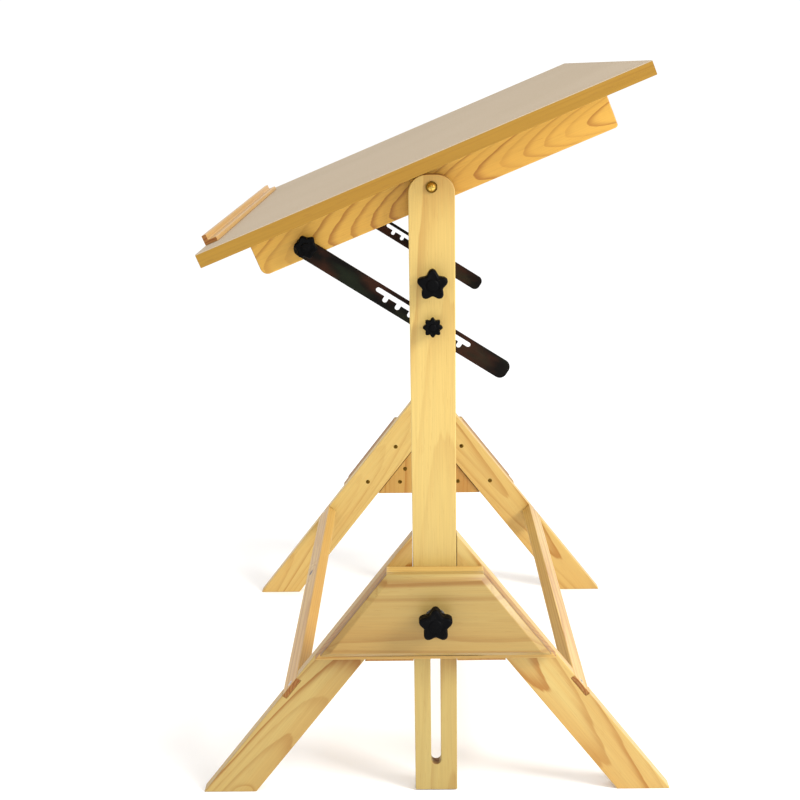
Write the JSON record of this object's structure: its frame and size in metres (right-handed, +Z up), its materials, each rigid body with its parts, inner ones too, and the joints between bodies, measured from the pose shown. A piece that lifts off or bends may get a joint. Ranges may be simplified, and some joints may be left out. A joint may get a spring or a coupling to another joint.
{
  "type": "drafting table",
  "caption": "Tilting pine drafting table on two A-shaped end frames, with sliding posts, slotted tilt arms and hand knobs.",
  "frame": {"origin": "on the floor, at the middle of the four feet, under the middle of the table", "axes": "+X to the back of the table, away from its user; +Y to the table's left end; +Z up"},
  "size_m": [0.674, 0.9, 1.0163],
  "materials": {
    "core_board": "sanded light-coloured board",
    "surface_sheet": "satin beige hard sheet",
    "lipping_pine": "clear varnished pine, golden",
    "leg_pine": "clear varnished pine",
    "plate_pine": "clear varnished pine",
    "stretcher_pine": "clear varnished pine",
    "post_pine": "clear varnished pine, pale",
    "rail_pine": "clear varnished pine",
    "cleat_pine": "clear varnished pine, warm",
    "ledge_pine": "clear varnished pine",
    "knob_plastic": "black moulded plastic, fine texture",
    "insert_brass": "turned brass",
    "pivot_brass": "polished brass",
    "brass_screws": "brass-plated screws",
    "zinc_screws": "zinc-plated screws",
    "zinc_hardware": "bright zinc plate",
    "arm_steel": "heat-blackened strip steel"
  },
  "bodies": {
    "base": {"leg_front_right": "leg_pine", "leg_back_right": "leg_pine", "leg_front_left": "leg_pine", "leg_back_left": "leg_pine", "guide_plate_right": "plate_pine", "guide_plate_left": "plate_pine", "guide_blocks_right": "zinc_hardware", "guide_blocks_left": "zinc_hardware", "face_plate_right": "plate_pine", "face_plate_left": "plate_pine", "stretcher_front": "stretcher_pine", "stretcher_back": "stretcher_pine", "leg_screws": "brass_screws", "plate_screws": "brass_screws", "stretcher_screws": "zinc_screws", "clamp_bolt_right": "zinc_hardware", "clamp_bolt_left": "zinc_hardware", "clamp_washers": "zinc_hardware"},
    "clamp_knob_right": {"clamp_knob_right": "knob_plastic", "clamp_insert_right": "insert_brass"},
    "clamp_knob_left": {"clamp_knob_left": "knob_plastic", "clamp_insert_left": "insert_brass"},
    "mast": {"post_right": "post_pine", "post_left": "post_pine", "cross_rail": "rail_pine", "rail_barrel_nuts": "zinc_hardware", "rail_washers": "zinc_hardware", "arm_clamp_bolts": "zinc_hardware", "arm_clamp_washers": "zinc_hardware", "pivot_bolts": "pivot_brass", "pivot_cups": "pivot_brass", "pivot_spacers": "zinc_hardware", "pivot_nuts": "zinc_hardware"},
    "rail_knob_right": {"rail_knob_right": "knob_plastic", "rail_stud_right": "zinc_hardware"},
    "rail_knob_left": {"rail_knob_left": "knob_plastic", "rail_stud_left": "zinc_hardware"},
    "arm_knob_right": {"arm_knob_right": "knob_plastic", "arm_insert_right": "insert_brass"},
    "arm_knob_left": {"arm_knob_left": "knob_plastic", "arm_insert_left": "insert_brass"},
    "top": {"core_board": "core_board", "surface_sheet": "surface_sheet", "lipping_front": "lipping_pine", "lipping_back": "lipping_pine", "lipping_right": "lipping_pine", "lipping_left": "lipping_pine", "cleat_right": "cleat_pine", "cleat_left": "cleat_pine", "cleat_screws": "zinc_screws", "ledge": "ledge_pine", "ledge_screws": "zinc_screws", "arm_pins": "zinc_hardware"},
    "pin_knob_right": {"pin_knob_right": "knob_plastic", "pin_insert_right": "insert_brass"},
    "pin_knob_left": {"pin_knob_left": "knob_plastic", "pin_insert_left": "insert_brass"},
    "tilt_arm_right": {"tilt_arm_right": "arm_steel"},
    "tilt_arm_left": {"tilt_arm_left": "arm_steel"}
  },
  "joints": [
    {"name": "height", "type": "slide", "parent": "base", "child": "mast", "axis": [0, 0, 1], "range_m": [0, 0.222]},
    {"name": "tilt", "type": "hinge", "parent": "mast", "child": "top", "pos_m": [0, 0, 0.864], "axis": [0, 1, 0], "range_deg": [-29, 22]},
    {"name": "arm_swing_right", "type": "hinge", "parent": "top", "child": "tilt_arm_right", "pos_m": [-0.1634, -0.355, 0.7885], "axis": [0, 1, 0], "range_deg": [-11.1, 14.6]},
    {"name": "arm_swing_left", "type": "hinge", "parent": "top", "child": "tilt_arm_left", "pos_m": [-0.1634, 0.355, 0.7885], "axis": [0, 1, 0], "range_deg": [-11.1, 14.6]},
    {"name": "clamp_knob_turn_right", "type": "hinge", "parent": "base", "child": "clamp_knob_right", "pos_m": [0, -0.43, 0.286], "axis": [0, -1, 0], "continuous": true},
    {"name": "rail_knob_turn_right", "type": "hinge", "parent": "mast", "child": "rail_knob_right", "pos_m": [0, -0.385, 0.741], "axis": [0, -1, 0], "continuous": true},
    {"name": "arm_knob_turn_right", "type": "hinge", "parent": "mast", "child": "arm_knob_right", "pos_m": [0, -0.385, 0.684], "axis": [0, -1, 0], "continuous": true},
    {"name": "pin_knob_turn_right", "type": "hinge", "parent": "top", "child": "pin_knob_right", "pos_m": [-0.1634, -0.365, 0.7885], "axis": [0, -1, 0], "continuous": true},
    {"name": "clamp_knob_turn_left", "type": "hinge", "parent": "base", "child": "clamp_knob_left", "pos_m": [0, 0.43, 0.286], "axis": [0, 1, 0], "continuous": true},
    {"name": "rail_knob_turn_left", "type": "hinge", "parent": "mast", "child": "rail_knob_left", "pos_m": [0, 0.385, 0.741], "axis": [0, 1, 0], "continuous": true},
    {"name": "arm_knob_turn_left", "type": "hinge", "parent": "mast", "child": "arm_knob_left", "pos_m": [0, 0.385, 0.684], "axis": [0, 1, 0], "continuous": true},
    {"name": "pin_knob_turn_left", "type": "hinge", "parent": "top", "child": "pin_knob_left", "pos_m": [-0.1634, 0.365, 0.7885], "axis": [0, 1, 0], "continuous": true}
  ],
  "couplings": [
    {"joint": "arm_swing_right", "follows": "tilt", "ratio": -0.5},
    {"joint": "arm_swing_left", "follows": "tilt", "ratio": -0.5}
  ]
}
